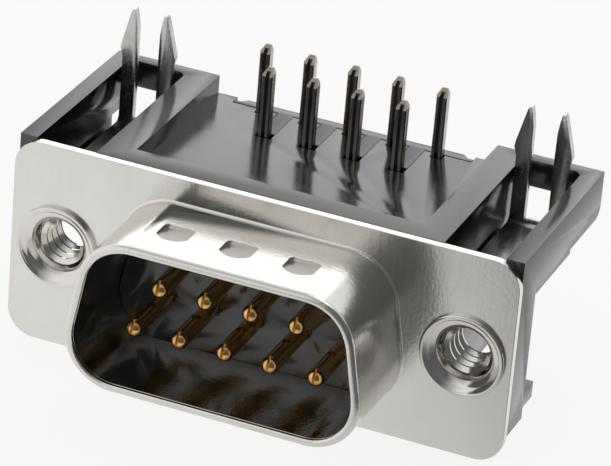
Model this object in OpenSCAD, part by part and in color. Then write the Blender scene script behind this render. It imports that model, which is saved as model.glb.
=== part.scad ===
// Right-angle nine-way D-sub pin connector for a circuit board, size E.
// X runs across the flange, -Y is the mating side and +Z is the side that meets the board.
// The origin is the middle of the D opening, on the front face of the flange.

/* [Flange] */
// Height of the steel flange
flange_h = 12.55; // [12.4:0.01:13.5]
// Thickness of the flange sheet
flange_t = 0.5; // [0.4:0.05:0.7]
// Corner radius of the flange
flange_r = 1.7; // [1:0.1:2.5]
// Distance from the mouth's widest point out to the axis of a jackscrew
screw_gap = 4.035; // [3.8:0.005:5]
// Distance from the axis of a jackscrew out to the flange's end
ear_l = 2.91; // [2.8:0.01:3.6]

/* [D shell] */
// Inside width of the mouth at its widest
mouth_w = 16.92; // [16.5:0.01:17.2]
// Inside height of the mouth
mouth_h = 8.36; // [8:0.01:8.6]
// Lean of each side of the D
side_angle = 10; // [8:0.5:12]
// Inside corner radius of the D
mouth_r = 2.6; // [1.8:0.1:3]
// Wall thickness of the drawn D
shell_wall = 0.5; // [0.35:0.05:0.6]
// Reach of the D in front of the flange
shell_reach = 6.3; // [5.7:0.1:6.6]
// Radius of the lip's outer edge
lip_r = 0.3; // [0.1:0.05:0.3]
// Root radius where the D leaves the flange
root_r = 0.2; // [0.1:0.05:0.6]
// Spacing of the three grip dimples
dimple_pitch = 3.8; // [3:0.1:4.5]
// Width of a dimple
dimple_w = 1.9; // [1.2:0.1:2.2]
// Length of a dimple along its ramp
dimple_l = 1.85; // [1.2:0.05:2]
// Depth of a dimple at its steep edge
dimple_depth = 0.26; // [0.15:0.01:0.35]
// Distance from the flange to the steep edge of a dimple
dimple_from = 2.5; // [2:0.1:3.2]

/* [Contacts] */
// Spacing of the contacts along a row
pin_pitch = 2.77; // [2.7:0.01:2.8]
// Distance between the two rows
row_gap = 2.84; // [2.7:0.01:3]
// Diameter of a pin
pin_d = 1.02; // [0.9:0.01:1.1]
// Reach of the pins in front of the flange
pin_reach = 4.6; // [4:0.1:5.2]
// Length of the full-size stretch of a contact behind the flange
pin_seat = 4; // [3:0.1:5]
// Width of the seam in a rolled pin
seam_w = 0.05; // [0.03:0.01:0.1]
// Width of the slit through the pin's nose
nose_slit_w = 0.16; // [0.1:0.01:0.24]
// Length of the slit from the pin's tip
nose_slit_l = 0.55; // [0.3:0.05:0.9]
// Diameter of the small hole at the seam's end
seam_hole_d = 0.46; // [0.3:0.01:0.6]
// Distance from the pin's tip to the small hole
seam_l = 2.6; // [2:0.1:3.2]
// Diameter of the leg behind the pin
leg_d = 0.6; // [0.5:0.05:0.7]
// Bend radius of the leg's centre line
leg_bend = 0.5; // [0.45:0.05:0.6]
// Width of a solder tail
tail_w = 0.66; // [0.5:0.01:0.7]
// Depth of a solder tail
tail_d = 0.6; // [0.5:0.01:0.7]
// Width of the groove in the folded tail
groove_w = 0.24; // [0.15:0.01:0.3]
// Depth of the groove in the folded tail
groove_d = 0.3; // [0.2:0.01:0.4]
// Length of a tail above the board face
tail_reach = 3.15; // [2.6:0.05:4]
// Distance from the flange's front face to the front row of tails
tail_y = 9.8; // [9.2:0.1:10.6]

/* [Housing] */
// Distance from the flange's end in to the moulding's side
side_inset = 0.055; // [0.02:0.005:0.2]
// Height of the board face above the flange's edge
board_gap = 0.025; // [0.015:0.005:0.3]
// Thickness of the plate behind the flange
plate_t = 2.55; // [2:0.05:3]
// Distance from the middle of the D down to the moulding's underside
belly_z = 4.7; // [4.2:0.1:5.5]
// Width of the rail on each side of the bay
rail_w = 1.8; // [1.2:0.05:2]
// Depth of the bay between the rails
bay_depth = 1.12; // [0.8:0.02:1.4]
// Distance from the flange's front face to the bay's front edge
bay_y = 2.05; // [1.6:0.05:2.5]
// Corner radius of a pocket at the rear
pocket_r = 0.6; // [0.3:0.1:1]
// Thickness of the floor under a boardlock's strip
floor_t = 0.5; // [0.3:0.05:0.55]
// Thickness of the web between that floor and the outer arm
floor_web = 0.45; // [0.3:0.05:0.6]
// Thickness of the wall behind a pocket
rear_wall_t = 0.8; // [0.6:0.05:1.2]
// Height of the wall behind a pocket
rear_wall_h = 1.65; // [1.2:0.05:2.4]
// Height of the outer arm
arm_h = 2.8; // [2.4:0.1:3.1]
// Radius of the arm's lower rear corner
arm_r = 0.7; // [0.3:0.1:1.2]
// Height of the rib behind each ear
rib_h = 1; // [0.6:0.1:1.4]
// Depth of the rib behind each ear
rib_d = 1.45; // [1:0.05:2]
// Distance from the middle of the D down to the rib
rib_z = 3; // [2.8:0.1:3.2]
// Distance of the insulator's face behind the flange's front face
face_y = 0.1; // [0:0.05:0.3]

/* [Tail comb] */
// Reach of the comb beyond the outermost tails
comb_end = 2; // [1.4:0.05:2.4]
// Thickness of the comb's bar behind the tails
comb_t = 0.7; // [0.5:0.01:1.2]
// Height of the comb
comb_h = 2.2; // [1.6:0.1:3]
// Width of a comb finger
finger_w = 1; // [0.8:0.05:1.2]
// Depth of the notch at each end of the comb
notch = 0.35; // [0.2:0.05:0.5]

/* [Threaded inserts] */
// Outside diameter of the insert's rolled rim
rim_d = 5.05; // [4.7:0.05:5.3]
// Height of the rim above the flange
rim_h = 0.28; // [0.2:0.02:0.4]
// Diameter of the mouth inside the dished rim
throat_d = 3.1; // [3:0.05:3.6]
// Depth of the dish from the rim down to the mouth
dish_depth = 0.3; // [0.2:0.02:0.5]
// Outside diameter of the insert's body
insert_d = 3.9; // [3.7:0.05:4.2]
// Bore of the insert, at the crests of its 4-40 thread
thread_bore = 2.26; // [2.15:0.01:2.4]
// Thickness of the flare behind the plate
flare_t = 0.45; // [0.3:0.05:0.6]
// Outside diameter of the flare behind the plate
flare_d = 4.8; // [4.5:0.1:5.2]
// Countersink in the flare
flare_sink = 0.35; // [0.2:0.05:0.4]
// Width of the way left behind the insert for a long screw
screw_way = 3.4; // [3:0.1:4]

/* [Boardlocks] */
// Thickness of the boardlock strip
strap_t = 0.45; // [0.3:0.05:0.55]
// Width of the boardlock strip
strap_w = 3.26; // [3:0.02:3.4]
// Distance of the strip in from the axis of the jackscrew
lock_in = 0.11; // [0:0.01:0.15]
// Gap between the strip and the insert's flare below it
strap_clear = 0.25; // [0.15:0.05:0.4]
// Inside bend radius of the strip
strap_bend = 0.25; // [0.15:0.05:0.4]
// Width of the eye's ring round the insert
eye_w = 0.5; // [0.4:0.05:0.7]
// Reach of each barb beyond the strip's edge
barb_out = 0.12; // [0.08:0.01:0.13]
// Gap between the two prongs
prong_gap = 1.42; // [1.2:0.02:1.6]
// Length of a fork above the board face
fork_reach = 4.15; // [3.4:0.05:4.6]
// Thickness of the circuit board that the barbs grip
board_t = 1.6; // [1.4:0.1:1.8]

/* [Clearances] */
// Gap round pieces pressed into the moulding
fit = 0.02; // [0.01:0.01:0.05]
// Gap round each tail in its slot
slot_gap = 0.06; // [0.04:0.01:0.12]
// Gap along the front of the comb
comb_gap = 0.1; // [0.04:0.01:0.15]
// Gap round the flare of an insert
flare_gap = 0.1; // [0.05:0.01:0.15]
// Gap between a boardlock and the rail beside it
rail_gap = 0.15; // [0.14:0.01:0.25]
// Gap between a boardlock and the outer arm
arm_gap = 0.27; // [0.14:0.01:0.3]

/* [Hidden] */
$fn = 48;
// Lets a cutter run past the face that it opens
past = 1;

screw_x = mouth_w / 2 + screw_gap;
flange_w = 2 * (screw_x + ear_l);
side_x = flange_w / 2 - side_inset;
plate_back = flange_t + plate_t;
board_z = flange_h / 2 + board_gap;
bay_z = board_z - bay_depth;
tail_top = board_z + tail_reach;
rear_tail_y = tail_y + row_gap;
lock_y = tail_y + row_gap / 2;
// A tail's stretch below the board is as deep and as wide as its leg at the least
tail_half_d = max(tail_d, leg_d) / 2;
tail_half_w = max(tail_w, leg_d) / 2;
comb_front = rear_tail_y + tail_half_d + fit;
comb_w = 4 * pin_pitch + 2 * comb_end;
housing_d = comb_front + comb_t;
strap_under = flare_d / 2 + strap_clear;
strap_z = strap_under + strap_t;
eye_d = insert_d + 2 * eye_w;
// A boardlock's middle, and its pocket between the rail and the arm
lock_x = screw_x - lock_in;
pocket_in = lock_x - strap_w / 2 - rail_gap;
pocket_out = lock_x + strap_w / 2 + arm_gap;
// The floor under the strap, which ends in front of the fork's bend
floor_low = strap_under - fit - floor_t;
floor_end = lock_y - strap_t / 2 - strap_bend;

// Centres of the D's corner arcs: the lower pair is wider than the upper pair
corner_z = mouth_h / 2 - mouth_r;
low_x = mouth_w / 2 - mouth_r;
high_x = low_x - 2 * corner_z * tan(side_angle);
side_l = 2 * corner_z / cos(side_angle);

// Five contacts stand in the lower row and four in the upper row
function in_low_row(i) = i <= 5;
function contact_x(i) = in_low_row(i) ? (3 - i) * pin_pitch : (7.5 - i) * pin_pitch;
function contact_z(i) = in_low_row(i) ? -row_gap / 2 : row_gap / 2;
function contact_tail_y(i) = in_low_row(i) ? rear_tail_y : tail_y;

// ---------- helpers ----------

// Extrudes an outline drawn in X and Z from depth y0 to depth y1
module slab(y0, y1) {
    translate([0, y1, 0]) rotate([90, 0, 0]) linear_extrude(y1 - y0) children();
}

// Extrudes an outline drawn in Y and Z from x0 to x1
module side_slab(x0, x1) {
    translate([x0, 0, 0]) rotate([90, 0, 90]) linear_extrude(x1 - x0) children();
}

// Turns a profile drawn as radius and depth about an axis that runs back from the mating side
module turned(x, z) {
    translate([x, 0, z]) rotate([-90, 0, 0]) rotate_extrude() children();
}

// A box given by its low and high corners
module block(low, high) {
    translate(low) cube(high - low);
}

// Draws its children on the right, and again mirrored on the left
module both_sides() {
    children();
    mirror([1, 0, 0]) children();
}

// A rectangle with round corners, centred on the origin
module round_rect(w, h, r) {
    square([w, h - 2 * r], center = true);
    square([w - 2 * r, h], center = true);
    for (sx = [-1, 1], sz = [-1, 1])
        translate([sx * (w / 2 - r), sz * (h / 2 - r)]) circle(r);
}

// The D outline of the mouth, grown outwards by the given amount
module d_outline(grow) {
    r = mouth_r + grow;
    // each leaning side cuts its circles a hair inside the tangent, so that they truly cross
    nx = (r - 0.002) * cos(side_angle);
    nz = (r - 0.002) * sin(side_angle);
    polygon([[low_x, -corner_z - r], [low_x + nx, -corner_z + nz], [high_x + nx, corner_z + nz],
             [high_x, corner_z + r], [-high_x, corner_z + r], [-high_x - nx, corner_z + nz],
             [-low_x - nx, -corner_z + nz], [-low_x, -corner_z - r]]);
    for (s = [-1, 1]) {
        translate([s * low_x, -corner_z]) circle(r);
        translate([s * high_x, corner_z]) circle(r);
    }
}

// ---------- metal shell ----------

// Round lip and root fillet of the drawn wall: outward distance from the mouth, and reach.
// The straight runs are a hair shy of the corners, so that the two never graze each other
module edge_section(shy) {
    half = shell_wall / 2;
    intersection() {
        translate([shell_wall - lip_r, shell_reach - lip_r]) circle(lip_r - shy);
        translate([shy, shell_reach - shell_wall]) square(shell_wall);
    }
    difference() {
        translate([half, -half]) square([half + root_r * 0.9 - shy, half + root_r * 0.9 - shy]);
        translate([shell_wall + root_r - shy + 0.02, root_r - shy + 0.02]) circle(root_r);
    }
}

// The edges swept round one corner
module edge_corner(x, z, from, sweep) {
    translate([x, z, 0]) rotate([0, 0, from]) rotate_extrude(angle = sweep)
        translate([mouth_r, 0]) edge_section(0.01);
}

// The edges along one straight side, which starts at a corner's centre and runs clockwise
module edge_side(x, z, facing, length) {
    lap = 0.05;
    translate([x, z, 0]) rotate([0, 0, facing]) translate([mouth_r, lap, 0]) rotate([90, 0, 0])
        linear_extrude(length + 2 * lap) edge_section(0.02);
}

module swept_edges() {
    rotate([90, 0, 0]) {
        both_sides() {
            edge_corner(low_x, -corner_z, -90, 90 + side_angle);
            edge_corner(high_x, corner_z, side_angle, 90 - side_angle);
            edge_side(high_x, corner_z, side_angle, side_l);
        }
        edge_side(low_x, -corner_z, -90, 2 * low_x);
        edge_side(-high_x, corner_z, 90, 2 * high_x);
    }
}

// A wedge that is deepest at its steep rear edge and runs out to nothing at the front
module dimple(x, z, depth) {
    r = dimple_w * 0.58;
    intersection() {
        side_slab(x - dimple_w / 2, x + dimple_w / 2)
            polygon([[-dimple_from, z - depth], [-dimple_from, z + past],
                     [-dimple_from - dimple_l, z + past], [-dimple_from - dimple_l, z]]);
        translate([x, r - dimple_from - dimple_l, z - depth - past])
            cylinder(r = r, h = depth + 3 * past);
    }
}

// The bump that a dimple raises on the inside of the wall
module dimple_bump(x) {
    z = mouth_h / 2;
    side_slab(x - dimple_w / 2, x + dimple_w / 2)
        polygon([[-dimple_from, z + shell_wall / 4], [-dimple_from, z - dimple_depth],
                 [-dimple_from - dimple_l, z], [-dimple_from - dimple_l, z + shell_wall / 4]]);
}

module metal_shell() {
    half = shell_wall / 2;
    color([0.78, 0.77, 0.74]) {
        difference() {
            union() {
                slab(0, flange_t) difference() {
                    round_rect(flange_w, flange_h, flange_r);
                    for (s = [-1, 1]) translate([s * screw_x, 0]) circle(d = insert_d + 2 * fit);
                }
                slab(lip_r - shell_reach, half) d_outline(shell_wall);
            }
            slab(-shell_reach - past, flange_t + past) d_outline(0);
            for (k = [-1, 0, 1]) dimple(k * dimple_pitch, mouth_h / 2 + shell_wall, dimple_depth);
        }
        swept_edges();
        for (k = [-1, 0, 1]) dimple_bump(k * dimple_pitch);
    }
}

// ---------- housing ----------

// The slots for the tails open at the board face and at the rear
module tail_slots() {
    for (i = [1:9]) {
        low = in_low_row(i);
        half = low ? tail_half_w + slot_gap : finger_w / 2 + fit;
        front = contact_tail_y(i) - tail_half_d - slot_gap;
        block([contact_x(i) - half, front, contact_z(i) - pin_d / 2 - fit],
              [contact_x(i) + half, housing_d + past, board_z + past]);
    }
}

// The holes that hold the contacts
module contact_bores() {
    for (i = [1:9])
        translate([contact_x(i), face_y - past, contact_z(i)]) rotate([-90, 0, 0])
            cylinder(d = pin_d + 2 * fit, h = contact_tail_y(i) - face_y + past);
}

// Seat for the comb, behind the rear row of tails
module comb_seat() {
    block([-comb_w / 2 - fit, comb_front - comb_gap, bay_z - comb_h],
          [comb_w / 2 + fit, housing_d + past, board_z + past]);
}

// The pocket that a boardlock's strip runs through, with round rear corners
module lock_pocket() {
    rear = housing_d - rear_wall_t;
    low = strap_under - fit;
    block([pocket_in, flange_t - past, low], [pocket_out, rear - pocket_r, board_z + past]);
    block([pocket_in + pocket_r, flange_t - past, low],
          [pocket_out - pocket_r, rear, board_z + past]);
    for (x = [pocket_in + pocket_r, pocket_out - pocket_r])
        translate([x, rear - pocket_r, low]) cylinder(r = pocket_r, h = board_z + past - low);
}

// The outer arm, seen from the side, with its lower rear corner rounded
module arm_outline() {
    low = board_z - arm_h;
    translate([flange_t, low + arm_r]) square([housing_d - flange_t, arm_h - arm_r]);
    translate([flange_t, low]) square([housing_d - flange_t - arm_r, arm_h]);
    translate([housing_d - arm_r, low + arm_r]) circle(arm_r);
}

module housing() {
    color([0.04, 0.04, 0.045]) difference() {
        union() {
            // nose inside the D, and the plate behind the flange
            slab(face_y, flange_t) d_outline(-fit);
            block([-side_x, flange_t, -belly_z], [side_x, plate_back, board_z]);
            // middle block with a rail on each side
            block([-pocket_in, flange_t, -belly_z], [pocket_in, housing_d, board_z]);
            both_sides() {
                side_slab(pocket_in - past, side_x) arm_outline();
                // floor that the boardlock's strip lies on, joined to the arm
                block([pocket_in - past, plate_back - past, floor_low],
                      [pocket_out + floor_web, floor_end, board_z - arm_h + arm_r]);
                block([pocket_in - past, flange_t, -rib_z - rib_h], [side_x, plate_back + rib_d, -rib_z]);
            }
        }
        // bay between the rails
        block([rail_w - pocket_in, bay_y, bay_z], [pocket_in - rail_w, housing_d + past, board_z + past]);
        comb_seat();
        tail_slots();
        contact_bores();
        both_sides() {
            lock_pocket();
            // under the floor and behind it the pocket is open down to the rib
            block([pocket_in, plate_back + rib_d, -rib_z],
                  [pocket_out, housing_d + past, floor_low]);
            block([pocket_in, floor_end, -rib_z],
                  [pocket_out, housing_d + past, board_z - rear_wall_h]);
            // seat for the boardlock's eye, and the hole for the insert
            slab(flange_t - past, flange_t + strap_t + fit) {
                translate([screw_x, 0]) circle(d = eye_d + 2 * fit);
                translate([lock_x - strap_w / 2 - fit, 0]) square([strap_w + 2 * fit, board_z]);
            }
            // room for the bend between the eye and the strap
            block([lock_x - strap_w / 2 - fit, flange_t, strap_under - strap_bend - fit],
                  [lock_x + strap_w / 2 + fit, flange_t + strap_t + strap_bend + fit, strap_z]);
            translate([screw_x, 0, 0]) rotate([-90, 0, 0])
                cylinder(d = insert_d + 2 * fit, h = plate_back + past);
            // room for the insert's flare, and for a screw that comes through it
            translate([screw_x, plate_back, 0]) rotate([-90, 0, 0]) {
                cylinder(d = flare_d + 2 * flare_gap, h = flare_t + flare_gap);
                cylinder(d = screw_way, h = housing_d);
            }
        }
    }
}

// ---------- tail comb ----------

// The bar seen from above, with a notch at each end
module comb_bar() {
    half = comb_w / 2;
    polygon([[-half, comb_front], [half, comb_front], [half, housing_d - notch],
             [half - notch, housing_d - notch], [half - 2 * notch, housing_d],
             [-half + 2 * notch, housing_d], [-half + notch, housing_d - notch],
             [-half, housing_d - notch]]);
}

module tail_comb() {
    finger_tip = tail_y + tail_half_d + slot_gap;
    color([0.05, 0.05, 0.055]) translate([0, 0, bay_z - comb_h + fit]) linear_extrude(comb_h - fit) {
        comb_bar();
        for (i = [6:9])
            translate([contact_x(i) - finger_w / 2, finger_tip])
                square([finger_w, comb_front - finger_tip + comb_t / 2]);
    }
}

// ---------- threaded insert ----------

// Half section of the insert: radius, and depth behind the flange's front face
module insert_section() {
    bore = thread_bore / 2;
    throat = throat_d / 2;
    rim = rim_d / 2;
    soft = rim_h / 2;
    back = plate_back + flare_t;
    dish = dish_depth - rim_h;
    difference() {
        union() {
            translate([bore, -rim_h]) square([rim - soft - bore, rim_h]);
            translate([rim - soft, -soft]) circle(soft);
            translate([bore, 0]) square([insert_d / 2 - bore, back]);
            translate([bore, plate_back]) square([flare_d / 2 - bore, flare_t]);
        }
        // dished mouth and the lead-in to the thread
        polygon([[0, -rim_h - past], [rim - soft, -rim_h - past], [rim - soft, -rim_h],
                 [throat, dish], [bore, dish + throat - bore], [0, dish + throat - bore]]);
        // countersink at the rear
        polygon([[0, back - flare_sink], [bore, back - flare_sink], [bore + flare_sink, back],
                 [bore + flare_sink, back + past], [0, back + past]]);
    }
}

module threaded_insert(side) {
    color([0.72, 0.70, 0.66]) turned(side * screw_x, 0) insert_section();
}

// ---------- boardlock ----------

// The strip seen from the side: down behind the flange, back along the pocket, up as the fork
module strip_outline() {
    outer = strap_bend + strap_t;
    front = flange_t;
    back = lock_y + strap_t / 2;
    // run along the pocket
    translate([front + outer, strap_under]) square([back - front - 2 * outer, strap_t]);
    // bend down to the eye
    translate([front + outer, strap_z - outer]) intersection() {
        difference() { circle(outer); circle(strap_bend); }
        translate([-outer, 0]) square(outer);
    }
    translate([front, 0]) square([strap_t, strap_z - outer]);
    // bend up to the fork
    translate([back - outer, strap_under + outer]) intersection() {
        difference() { circle(outer); circle(strap_bend); }
        translate([0, -outer]) square(outer);
    }
}

// One prong of the fork, on the right of its centre line
module prong() {
    top = board_z + fork_reach;
    grip = board_z + board_t - 0.05;
    foot = strap_under + strap_bend + strap_t;
    shank = strap_w / 2 - 0.03;
    barb = strap_w / 2 + barb_out;
    inner = prong_gap / 2;
    tip = inner + 0.22;
    polygon([[inner, foot], [shank, foot], [shank - 0.02, grip - 0.55], [barb, grip],
             [barb - 0.06, grip + 0.35], [tip + 0.24, top - 0.18], [tip + 0.14, top], [tip, top],
             [inner + 0.11, top - 0.5], [inner + 0.02, top - 1.2], [inner, grip]]);
}

module boardlock(side) {
    back = lock_y + strap_t / 2;
    foot = strap_under + strap_bend + strap_t;
    color([0.66, 0.66, 0.64]) {
        difference() {
            union() {
                translate([side * lock_x, 0, 0]) side_slab(-strap_w / 2, strap_w / 2) strip_outline();
                translate([side * screw_x, 0, 0]) slab(flange_t, flange_t + strap_t) circle(d = eye_d);
            }
            translate([side * screw_x, 0, 0])
                slab(flange_t - past, flange_t + strap_t + past) circle(d = insert_d + 2 * fit);
        }
        translate([side * lock_x, 0, 0]) slab(back - strap_t, back) both_prongs(foot);
    }
}

// Both prongs, joined at their foot
module both_prongs(foot) {
    for (s = [0, 1]) mirror([s, 0]) prong();
    translate([-strap_w / 2 + 0.03, foot]) square([strap_w - 0.06, 0.05]);
}

// ---------- contacts ----------

// A rolled pin with a round nose, a seam on its upper side and a small hole at the seam's end
module pin() {
    nose = pin_d / 2;
    difference() {
        translate([0, -pin_reach + nose, 0]) {
            sphere(nose);
            rotate([-90, 0, 0]) cylinder(r = nose, h = pin_reach - nose + pin_seat);
        }
        block([-seam_w / 2, -pin_reach - past, 0], [seam_w / 2, -pin_reach + seam_l, past]);
        block([-nose_slit_w / 2, -pin_reach - past, -past],
              [nose_slit_w / 2, -pin_reach + nose_slit_l, past]);
        translate([0, -pin_reach + seam_l, 0]) cylinder(d = seam_hole_d, h = past);
    }
}

// The tail's section: a folded strip with a groove that faces forwards
module tail_section() {
    difference() {
        intersection() {
            square([tail_w, tail_d], center = true);
            circle(d = (tail_w + tail_d) * 0.64);
        }
        translate([-groove_w / 2, -tail_d / 2 - past]) square([groove_w, groove_d + past]);
    }
}

// A tail that stands on the bend, cut slanting at its tip
module tail(height) {
    difference() {
        linear_extrude(height) tail_section();
        translate([0, tail_d / 2 - 0.1, height]) rotate([40, 0, 0])
            translate([-past, -2 * past, 0]) cube([2 * past, 4 * past, past]);
        for (s = [-1, 1]) translate([s * 0.16, 0, height]) rotate([0, s * 62, 0])
            translate([-past, -past, 0]) cube([2 * past, 2 * past, past]);
    }
}

module contact(i) {
    y = contact_tail_y(i);
    translate([contact_x(i), 0, contact_z(i)]) {
        color([0.83, 0.66, 0.34]) pin();
        color([0.62, 0.61, 0.58]) {
            translate([0, pin_seat, 0]) rotate([-90, 0, 0]) cylinder(d = leg_d, h = y - leg_bend - pin_seat);
            translate([0, y - leg_bend, leg_bend]) rotate([0, 90, 0])
                rotate_extrude(angle = 90) translate([leg_bend, 0]) circle(d = leg_d);
            translate([0, y, leg_bend]) tail(tail_top - contact_z(i) - leg_bend);
        }
    }
}

metal_shell();
housing();
tail_comb();
threaded_insert(-1);  // threaded_insert_left
threaded_insert(1);  // threaded_insert_right
boardlock(-1);  // boardlock_left
boardlock(1);  // boardlock_right
contact(1);  // contact_1
contact(2);  // contact_2
contact(3);  // contact_3
contact(4);  // contact_4
contact(5);  // contact_5
contact(6);  // contact_6
contact(7);  // contact_7
contact(8);  // contact_8
contact(9);  // contact_9
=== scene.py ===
# %% [markdown]
# # A right-angle D-sub pin connector, dressed in Blender
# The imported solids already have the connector's true sizes: a drawn steel shell, a black
# moulding, nine bent contacts, two threaded inserts and two boardlocks. This lesson keeps
# those sizes and adds what a solid model lacks: softened edges, real screw threads, and
# metals and plastics that catch light as the real ones do. Everything is in metres, with X
# along the flange, -Y out of the mating side and +Z towards the circuit board.

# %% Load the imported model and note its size
import math

import bmesh
import bpy
from mathutils import Matrix, Vector


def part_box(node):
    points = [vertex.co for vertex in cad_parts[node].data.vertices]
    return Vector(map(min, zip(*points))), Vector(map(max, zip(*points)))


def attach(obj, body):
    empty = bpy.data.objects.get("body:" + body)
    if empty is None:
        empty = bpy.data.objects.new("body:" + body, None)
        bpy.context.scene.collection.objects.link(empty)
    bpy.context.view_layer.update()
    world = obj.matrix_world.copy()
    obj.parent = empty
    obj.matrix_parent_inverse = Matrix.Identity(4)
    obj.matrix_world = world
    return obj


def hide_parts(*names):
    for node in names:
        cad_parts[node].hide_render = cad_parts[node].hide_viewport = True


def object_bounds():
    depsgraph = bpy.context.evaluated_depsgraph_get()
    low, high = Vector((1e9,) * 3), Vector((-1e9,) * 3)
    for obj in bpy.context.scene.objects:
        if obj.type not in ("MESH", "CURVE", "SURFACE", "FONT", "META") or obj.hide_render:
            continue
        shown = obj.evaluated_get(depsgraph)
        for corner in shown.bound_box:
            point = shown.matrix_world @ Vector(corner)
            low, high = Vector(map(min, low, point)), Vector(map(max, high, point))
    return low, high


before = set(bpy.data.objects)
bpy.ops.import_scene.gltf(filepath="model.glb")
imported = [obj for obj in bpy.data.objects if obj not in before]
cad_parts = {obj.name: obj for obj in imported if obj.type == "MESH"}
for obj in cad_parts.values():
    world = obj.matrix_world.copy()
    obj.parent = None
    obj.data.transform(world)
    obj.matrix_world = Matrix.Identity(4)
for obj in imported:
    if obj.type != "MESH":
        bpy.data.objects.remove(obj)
cad_box = [list(corner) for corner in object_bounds()]
MM = 0.001
print("nodes:", len(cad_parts), "box:", [[round(v / MM, 2) for v in c] for c in cad_box])

# %% [markdown]
# ## The camera
# The connector is small, so the camera stands well back with a long lens and looks down
# from the front right. A long lens keeps the flange nearly a true parallelogram.
# The camera is rolled a little, which makes the connector look as if it leans back on its
# moulding. It is placed from angles and a distance, so that each can be changed by itself.

# %% Place the camera from its angles
def camera_axes(turn, height, roll):
    """Right, up and backward directions of a camera at these angles, in degrees."""
    a, e, k = (math.radians(v) for v in (turn, height, roll))
    back = Vector((math.sin(a) * math.cos(e), -math.cos(a) * math.cos(e), math.sin(e)))
    right = (-back).cross(Vector((0, 0, 1))).normalized()
    up = right.cross(-back)
    return (math.cos(k) * right + math.sin(k) * up, math.cos(k) * up - math.sin(k) * right, back)


TURN, HEIGHT, ROLL = 20.791, 27.037, 4.876
AWAY, SHIFT_RIGHT, SHIFT_DOWN = 239.577, 0.286, 0.365
LENS = 246.390835
right, up, back = camera_axes(TURN, HEIGHT, ROLL)
look_at = Vector((0, 6 * MM, 2 * MM))
place = look_at + back * AWAY * MM + right * SHIFT_RIGHT * MM - up * SHIFT_DOWN * MM
camera_data = bpy.data.cameras.new("camera")
camera_data.sensor_width = 36
camera_data.lens = LENS
camera_data.clip_start = 0.01
camera = bpy.data.objects.new("camera", camera_data)
camera.matrix_world = Matrix((
    (right.x, up.x, back.x, place.x),
    (right.y, up.y, back.y, place.y),
    (right.z, up.z, back.z, place.z),
    (0, 0, 0, 1),
))
bpy.context.collection.objects.link(camera)
scene = bpy.context.scene
scene.camera = camera
scene.view_settings.view_transform = "Standard"
print("lens", round(LENS, 1), "mm, distance", round((place - look_at).length / MM), "mm")

# %% [markdown]
# ## The studio
# Bare metal has no colour of its own to speak of: it shows the room. The connector stands on
# a pale floor in a light tent, with one soft lamp behind it and one overhead. The camera sees
# tent and floor as plain white. In metal both stay pale behind and on the left, and fall off
# to a dark card at the front right, so that the curves of the shell read.

# %% Helpers that add shader nodes
def add(tree, kind, **settings):
    """A new node, with its sockets filled from values or joined to other sockets."""
    made = tree.nodes.new("ShaderNode" + kind)
    for key, value in settings.items():
        if key.startswith("in_"):
            name = key[3:]
            socket = made.inputs[int(name) if name.isdigit() else name.replace("_", " ")]
            if isinstance(value, bpy.types.NodeSocket):
                tree.links.new(value, socket)
            else:
                socket.default_value = value
        else:
            setattr(made, key, value)
    return made


def ramp(tree, factor, stops):
    """A colour ramp's output for stops of (place, grey or colour)."""
    made = add(tree, "ValToRGB", in_Fac=factor)
    while len(made.color_ramp.elements) < len(stops):
        made.color_ramp.elements.new(0.5)
    for element, (where, value) in zip(made.color_ramp.elements, stops):
        element.position = where
        element.color = (*((value,) * 3 if isinstance(value, (int, float)) else value), 1)
    return made.outputs["Color"]


print("helpers ready")

# %% Light tent as the world
world = bpy.data.worlds.new("tent")
scene.world = world
world.use_nodes = True
tent = world.node_tree
tent.nodes.clear()
way = add(tent, "SeparateXYZ", in_Vector=add(tent, "TexCoord").outputs["Generated"])
# the tent is pale all round but for a dark card at the front right
forward = add(tent, "Math", operation="MULTIPLY", in_0=way.outputs["Y"], in_1=-0.5)
to_card = add(tent, "Math", operation="MULTIPLY_ADD", in_0=way.outputs["X"], in_1=0.8,
              in_2=forward.outputs[0])
card = add(tent, "MapRange", in_Value=to_card.outputs[0], in_From_Min=-1.0, in_From_Max=1.0)
walls = ramp(tent, card.outputs[0], [(0.0, 1.0), (0.58, 1.0), (0.78, 0.16), (1.0, 0.12)])
ceiling = ramp(tent, way.outputs["Z"], [(0.0, 1.0), (0.55, 1.0), (1.0, 0.5)])
level = add(tent, "Mix", data_type="RGBA", blend_type="MULTIPLY", in_0=1.0, in_6=walls,
            in_7=ceiling)
seen = add(tent, "LightPath").outputs["Is Camera Ray"]
glow = add(tent, "Background", in_Color=level.outputs[2], in_Strength=1.0)
white = add(tent, "Background", in_Color=(1, 1, 1, 1), in_Strength=1.0)
mixed = add(tent, "MixShader", in_0=seen, in_1=glow.outputs[0], in_2=white.outputs[0])
add(tent, "OutputWorld", in_Surface=mixed.outputs[0])
print("tent set")


# %% Lamps
def lamp(name, turn, rise, away, size, power):
    """A square soft lamp that looks at the connector from these angles."""
    a, e = math.radians(turn), math.radians(rise)
    way_out = Vector((math.sin(a) * math.cos(e), -math.cos(a) * math.cos(e), math.sin(e)))
    data = bpy.data.lights.new(name, "AREA")
    data.size = size
    data.energy = power
    made = bpy.data.objects.new(name, data)
    made.location = look_at + way_out * away
    made.rotation_euler = way_out.to_track_quat("Z", "Y").to_euler()
    bpy.context.collection.objects.link(made)
    return made


lamp("back_softbox", 201, 30, 0.35, 0.26, 0.16)
lamp("top_softbox", 150, 72, 0.35, 0.20, 0.2)

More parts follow.
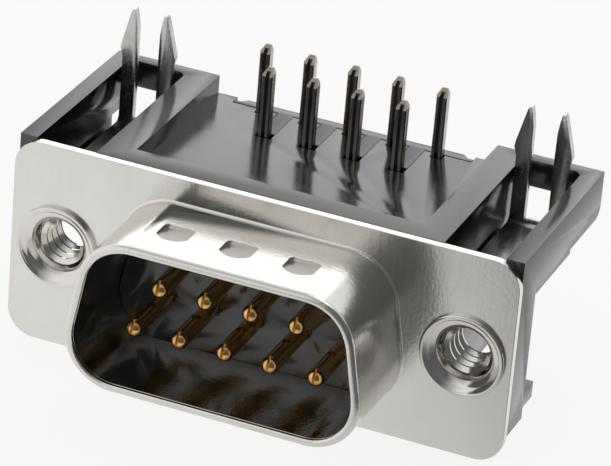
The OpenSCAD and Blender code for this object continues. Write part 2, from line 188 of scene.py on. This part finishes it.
# %% A pale floor under the connector
GAP_UNDER, FLOOR_HALF = 0.02 * MM, 3.0
floor_mesh = bpy.data.meshes.new("floor")
sheet = bmesh.new()
bmesh.ops.create_grid(sheet, x_segments=1, y_segments=1, size=FLOOR_HALF)
sheet.to_mesh(floor_mesh)
sheet.free()
floor_z = cad_box[0][2] - GAP_UNDER
for vertex in floor_mesh.vertices:
    vertex.co.z = floor_z
floor = bpy.data.objects.new("floor", floor_mesh)
bpy.context.collection.objects.link(floor)
print("floor at", round(floor_z / MM, 2), "mm")

# %% The floor's look, which keeps the connector's shadow
floor_look = bpy.data.materials.new("pale_floor")
floor_look.use_nodes = True
tree = floor_look.node_tree
tree.nodes.clear()
path = add(tree, "LightPath")
spot = add(tree, "SeparateXYZ", in_Vector=add(tree, "TexCoord").outputs["Object"])
# in metal the floor is white behind, and falls off towards the dark card at the front right
fall = add(tree, "Math", operation="MULTIPLY_ADD", in_0=spot.outputs["Y"], in_1=-0.5,
           in_2=spot.outputs["X"])
fallen = add(tree, "MapRange", in_Value=fall.outputs[0], in_From_Min=-40 * MM, in_From_Max=40 * MM)
mirrored = ramp(tree, fallen.outputs[0],
                [(0.0, 0.98), (0.34, 0.95), (0.62, 0.78), (0.72, 0.6), (0.80, 0.2), (1.0, 0.12)])
behind = add(tree, "MapRange", in_Value=spot.outputs["Y"], in_From_Min=0.0, in_From_Max=6 * MM)
mirrored = add(tree, "Mix", data_type="RGBA", in_0=behind.outputs[0], in_6=mirrored,
               in_7=(1, 1, 1, 1)).outputs[2]
shown = add(tree, "Mix", data_type="RGBA", in_0=path.outputs["Is Glossy Ray"], in_6=(1, 1, 1, 1),
            in_7=mirrored).outputs[2]
plain = add(tree, "BsdfDiffuse", in_Color=(0.72, 0.72, 0.71, 1))
bright = add(tree, "Emission", in_Color=shown, in_Strength=1.0)
# the camera still gets a share of the plain floor, on which the shadow falls
share = add(tree, "Math", operation="MULTIPLY_ADD", in_0=path.outputs["Is Camera Ray"], in_1=0.88,
            in_2=path.outputs["Is Glossy Ray"])
laid = add(tree, "MixShader", in_0=share.outputs[0], in_1=plain.outputs[0], in_2=bright.outputs[0])
add(tree, "OutputMaterial", in_Surface=laid.outputs[0])
floor_mesh.materials.append(floor_look)
print(floor_look.name)

# %% [markdown]
# ## The finishes
# Five finishes cover the connector. The shell is tin plate over drawn steel, with faint
# upright draw lines. The moulding is a glass-filled black plastic with a fine spark-eroded
# grain. The pins are thinly gold plated over nickel, their tails dull reflowed tin. The
# boardlocks are dull tinned strip, and the inserts are bright turned and rolled steel.
# Colour, roughness and bump each come from noise over the piece's own place, so that no two
# spots of a finish are quite alike.


# %% A helper that starts a finish
def finish_of(name, metallic, colour=None):
    """A material with its node tree and shader, ready for patterns."""
    made = bpy.data.materials.new(name)
    made.use_nodes = True
    nodes = made.node_tree
    principled = nodes.nodes["Principled BSDF"]
    principled.inputs["Metallic"].default_value = metallic
    if colour:
        principled.inputs["Base Color"].default_value = (*colour, 1)
    return made, nodes, principled


# %% Helpers that spread noise over a finish
EVEN_LOW, EVEN_HIGH = 0.3, 0.7


def spots(nodes, scale, stretch=(1, 1, 1), detail=3.0):
    """Noise over the piece, at a scale in features a metre, stretched along the axes."""
    where = add(nodes, "TexCoord").outputs["Object"]
    turned = add(nodes, "Mapping", in_Vector=where, in_Scale=stretch)
    noise = add(nodes, "TexNoise", in_Vector=turned.outputs[0], in_Scale=scale, in_Detail=detail)
    return noise.outputs[0]


def spread(nodes, pattern, low, high):
    """A pattern's even middle range, stretched to run between two values."""
    return add(nodes, "MapRange", in_Value=pattern, in_From_Min=EVEN_LOW, in_From_Max=EVEN_HIGH,
               in_To_Min=low, in_To_Max=high).outputs[0]


def roughen(nodes, principled, pattern, low, high):
    """Lets a pattern move the roughness between two values."""
    nodes.links.new(spread(nodes, pattern, low, high), principled.inputs["Roughness"])


def emboss(nodes, principled, pattern, depth):
    """Bumps the surface by a pattern, with a depth in metres."""
    bump = add(nodes, "Bump", in_Height=pattern, in_Distance=depth, in_Strength=1.0)
    nodes.links.new(bump.outputs[0], principled.inputs["Normal"])


def tint(nodes, principled, pattern, dark, light):
    """Colours the surface between two colours by a pattern."""
    colour = ramp(nodes, pattern, [(EVEN_LOW, dark), (EVEN_HIGH, light)])
    nodes.links.new(colour, principled.inputs["Base Color"])


print("finish helpers ready")

# %% Tin plate on the drawn shell
tin_plate, tree, shader = finish_of("tin_plate", 1.0)
draw_lines = spots(tree, 900, (6, 6, 0.35))
speckle = spots(tree, 5200, detail=2.0)
tint(tree, shader, spots(tree, 260), (0.69, 0.675, 0.64), (0.745, 0.725, 0.69))
grain = add(tree, "Mix", data_type="FLOAT", in_0=0.3, in_2=speckle, in_3=draw_lines)
emboss(tree, shader, grain.outputs[0], 0.012 * MM)
print(tin_plate.name)

# %% The smooth inside of the D
# inside the D the surface faces the middle: there it is as smooth as the punch left it
coords = add(tree, "TexCoord")
flat = add(tree, "VectorMath", operation="MULTIPLY", in_0=coords.outputs["Object"], in_1=(1, 0, 1))
facing = add(tree, "VectorMath", operation="DOT_PRODUCT", in_0=flat.outputs[0],
             in_1=coords.outputs["Normal"]).outputs["Value"]
inside = add(tree, "MapRange", in_Value=facing, in_From_Min=-1.0 * MM, in_From_Max=-3.0 * MM)
smooth = add(tree, "Mix", data_type="FLOAT", in_0=inside.outputs[0],
             in_2=spread(tree, draw_lines, 0.17, 0.25), in_3=0.06)
tree.links.new(smooth.outputs[0], shader.inputs["Roughness"])
print("inside of the D smoothed")

# %% Black plastic for the moulding and the comb
black_plastic, tree, shader = finish_of("black_plastic", 0.0, (0.010, 0.010, 0.0105))
shader.inputs["Specular IOR Level"].default_value = 0.9
roughen(tree, shader, spots(tree, 700), 0.13, 0.22)
emboss(tree, shader, spots(tree, 9000, detail=2.0), 0.0015 * MM)
print(black_plastic.name)

# %% Gold and tin on the contacts
gold, tree, shader = finish_of("gold_and_tin", 1.0)
TIN_FROM, TIN_FULL = 3.9 * MM, 4.1 * MM
along = add(tree, "SeparateXYZ", in_Vector=add(tree, "TexCoord").outputs["Object"]).outputs["Y"]
tinned = add(tree, "MapRange", in_Value=along, in_From_Min=TIN_FROM,
             in_From_Max=TIN_FULL).outputs[0]
cloud = spots(tree, 1500)
gold_colour = ramp(tree, cloud, [(EVEN_LOW, (0.62, 0.38, 0.13)), (EVEN_HIGH, (0.78, 0.54, 0.24))])
tin_colour = ramp(tree, cloud, [(EVEN_LOW, (0.34, 0.31, 0.28)), (EVEN_HIGH, (0.46, 0.43, 0.40))])
blend = add(tree, "Mix", data_type="RGBA", in_0=tinned, in_6=gold_colour, in_7=tin_colour)
tree.links.new(blend.outputs[2], shader.inputs["Base Color"])
rough = add(tree, "MapRange", in_Value=tinned, in_To_Min=0.16, in_To_Max=0.24)
tree.links.new(rough.outputs[0], shader.inputs["Roughness"])
print(gold.name)

# %% Dull tinned strip for the boardlocks
strip, tree, shader = finish_of("tinned_strip", 1.0)
tint(tree, shader, spots(tree, 900), (0.42, 0.42, 0.40), (0.56, 0.56, 0.54))
roughen(tree, shader, spots(tree, 2500, (3, 0.4, 0.4)), 0.18, 0.28)
emboss(tree, shader, spots(tree, 4000), 0.006 * MM)
print(strip.name)

# %% Bright steel for the inserts
bright_steel, tree, shader = finish_of("bright_steel", 1.0, (0.70, 0.675, 0.64))
roughen(tree, shader, spots(tree, 2500), 0.09, 0.16)
emboss(tree, shader, spots(tree, 3000, detail=2.0), 0.004 * MM)
print(bright_steel.name)


# %% [markdown]
# ## Edges that catch light
# No moulded or sheared edge is perfectly sharp. A copy of a solid is welded, its flat
# triangles are dissolved back into whole faces, and a narrow bevel softens the edges. The
# copy then stands for the solid, at the same place and size. The contacts are left as they
# are, because a folded contact that small is sharp enough to the eye.


WELD, SOFT_FROM = 0.0005 * MM, math.radians(28)


def softened(node, width, look, segments=2):
    """A welded copy of a CAD node with its edges bevelled, which stands for the node."""
    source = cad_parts[node]
    work = bmesh.new()
    work.from_mesh(source.data)
    bmesh.ops.remove_doubles(work, verts=work.verts, dist=WELD)
    bmesh.ops.dissolve_limit(work, angle_limit=math.radians(0.5), verts=work.verts,
                             edges=work.edges, use_dissolve_boundaries=False, delimit={"NORMAL"})
    mesh = bpy.data.meshes.new(node + "_soft")
    for face in work.faces:
        face.smooth = True
    work.to_mesh(mesh)
    work.free()
    made = bpy.data.objects.new(node + "_soft", mesh)
    bpy.context.collection.objects.link(made)
    bevel = made.modifiers.new("soft_edges", "BEVEL")
    bevel.width = width
    bevel.segments = segments
    bevel.limit_method = "ANGLE"
    bevel.angle_limit = SOFT_FROM
    bevel.harden_normals = True
    bevel.use_clamp_overlap = True
    mesh.materials.append(look)
    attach(made, "root")
    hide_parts(node)
    return made


print("bevel helper ready")

# %% Soften the moulding and the comb
housing = softened("housing", 0.07 * MM, black_plastic)
comb = softened("tail_comb", 0.04 * MM, black_plastic)
print("moulding faces:", len(housing.data.polygons), "comb faces:", len(comb.data.polygons))

# %% Soften the boardlocks
for side in ("left", "right"):
    softened("boardlock_" + side, 0.05 * MM, strip)
print("boardlocks done")


# %% [markdown]
# ## The shell's rolled edge
# A press tool leaves one edge of a sheared sheet rounded. On this shell that edge is the
# flange's front outline, where it draws a thin dark line under the bright top edge. Only those
# edges are given a bevel weight, so the drawn D keeps the shape that it already has.

# %% Round the flange's front outline
NEAR, CORNER_IN = 0.003 * MM, 1.75 * MM
shell = softened("metal_shell", 0.16 * MM, tin_plate, segments=4)
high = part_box("metal_shell")[1]
work = bmesh.new()
work.from_mesh(shell.data)
weight = work.edges.layers.float.new("bevel_weight_edge")
rounded = 0
for edge in work.edges:
    edge.smooth = edge.is_manifold and edge.calc_face_angle(0) < math.radians(25)
    on_front = all(abs(v.co.y) < NEAR for v in edge.verts)
    far_out = all(abs(v.co.x) > high[0] - CORNER_IN or abs(v.co.z) > high[2] - NEAR
                  for v in edge.verts)
    if on_front and far_out and not edge.smooth:
        edge[weight] = 1.0
        rounded += 1
work.to_mesh(shell.data)
work.free()
shell.modifiers["soft_edges"].limit_method = "WEIGHT"
print("rounded outline edges:", rounded)

# %% [markdown]
# ## Threaded inserts
# An insert is a turned bush: a rolled rim on the flange, a dished mouth that curves into the
# throat, and a flare behind the plate. Its section is a short loop of corners, spun once round
# the screw's axis, and the corners that a tool would round are then bevelled. The 4-40 thread
# is a ridge of its own: one flat-topped tooth, spun several times round while it climbs by the
# pitch, with its foot sunk a little in the bore's wall.

# %% Corners of an insert's section, and its thread, as (radius, depth) in mm
RIM = [(2.525, 0.0), (2.525, -0.28), (2.29, -0.28), (2.21, -0.19), (1.74, -0.03), (1.50, 0.45)]
BORE = [(1.42, 0.62), (1.42, 3.36), (1.62, 3.5)]
FLARE = [(2.40, 3.5), (2.40, 3.05), (1.95, 3.05), (1.95, 0.0)]
ROUNDED = {(2.525, -0.28): 0.11, (2.29, -0.28): 0.09, (1.74, -0.03): 0.3, (1.50, 0.45): 0.1,
           (2.40, 3.05): 0.08}
PITCH, TURN_STEPS, TURNS, THREAD_START = 0.635, 64, 4.1, 0.78
TOOTH = [(1.45, -0.27), (1.15, -0.06), (1.15, 0.06), (1.45, 0.27)]
RING_NEAR, SHARP_FROM = 0.004 * MM, math.radians(32)


def loop_of(work, axis_x, section, depth=0.0):
    """A closed loop of vertices for a section of (radius, depth) corners, in mm."""
    verts = [work.verts.new(((axis_x + r) * MM, (d + depth) * MM, 0)) for r, d in section]
    edges = [work.edges.new((verts[i - 1], verts[i])) for i in range(len(verts))]
    return verts, edges


print("corners:", len(RIM + BORE + FLARE))


# %% The bush and its thread
def turn_bush(work, axis_x, centre):
    """Spins the section round the screw's axis and rounds its ring edges."""
    verts, edges = loop_of(work, axis_x, RIM + BORE + FLARE)
    bmesh.ops.spin(work, geom=verts + edges, cent=centre, axis=(0, 1, 0), dvec=(0, 0, 0),
                   angle=math.tau, steps=96, use_merge=True)
    bmesh.ops.remove_doubles(work, verts=work.verts, dist=0.001 * MM)
    for (r, d), width in ROUNDED.items():
        ring = [e for e in work.edges if all(
            abs(math.hypot(v.co.x - centre[0], v.co.z) - r * MM) < RING_NEAR
            and abs(v.co.y - d * MM) < RING_NEAR for v in e.verts)]
        bmesh.ops.bevel(work, geom=ring, offset=width * MM, offset_type="OFFSET", affect="EDGES",
                        segments=6, profile=0.5, material=-1)
    bmesh.ops.recalc_face_normals(work, faces=work.faces)


def cut_thread(work, axis_x, centre):
    """Spins the tooth round while it climbs by the pitch, as a closed ridge in the bore."""
    bush = set(work.faces)
    verts, edges = loop_of(work, axis_x, TOOTH, depth=THREAD_START)
    tooth = work.faces.new(verts)
    bmesh.ops.spin(work, geom=verts + edges + [tooth], cent=centre, axis=(0, 1, 0),
                   dvec=(0, PITCH / TURN_STEPS * MM, 0), angle=math.tau * TURNS,
                   steps=round(TURN_STEPS * TURNS), use_merge=False)
    bmesh.ops.recalc_face_normals(work, faces=[f for f in work.faces if f not in bush])


print("thread turns:", TURNS, "pitch:", PITCH, "mm")


# %% Make both inserts
def turned_insert(name, axis_x):
    """A threaded bush round the screw's axis, as one mesh of two closed parts."""
    work = bmesh.new()
    centre = (axis_x * MM, 0, 0)
    turn_bush(work, axis_x, centre)
    cut_thread(work, axis_x, centre)
    for edge in work.edges:
        edge.smooth = edge.calc_face_angle(0) < SHARP_FROM
    for face in work.faces:
        face.smooth = True
    print(name, "open edges:", sum(1 for e in work.edges if not e.is_manifold),
          "faces:", len(work.faces))
    mesh = bpy.data.meshes.new(name)
    work.to_mesh(mesh)
    work.free()
    mesh.materials.append(bright_steel)
    made = bpy.data.objects.new(name, mesh)
    bpy.context.collection.objects.link(made)
    return made


for side in ("left", "right"):
    low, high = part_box("threaded_insert_" + side)
    insert = turned_insert("insert_turned_" + side, (low[0] + high[0]) / 2 / MM)
    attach(insert, "root")
    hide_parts("threaded_insert_" + side)


# %% Put the finish on the contacts
def dress(node, look):
    """Gives a CAD node's every slot this finish."""
    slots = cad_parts[node].data.materials
    if not slots:
        slots.append(look)
    for i in range(len(slots)):
        slots[i] = look


for i in range(1, 10):
    dress("contact_%d" % i, gold)
print("contacts dressed")
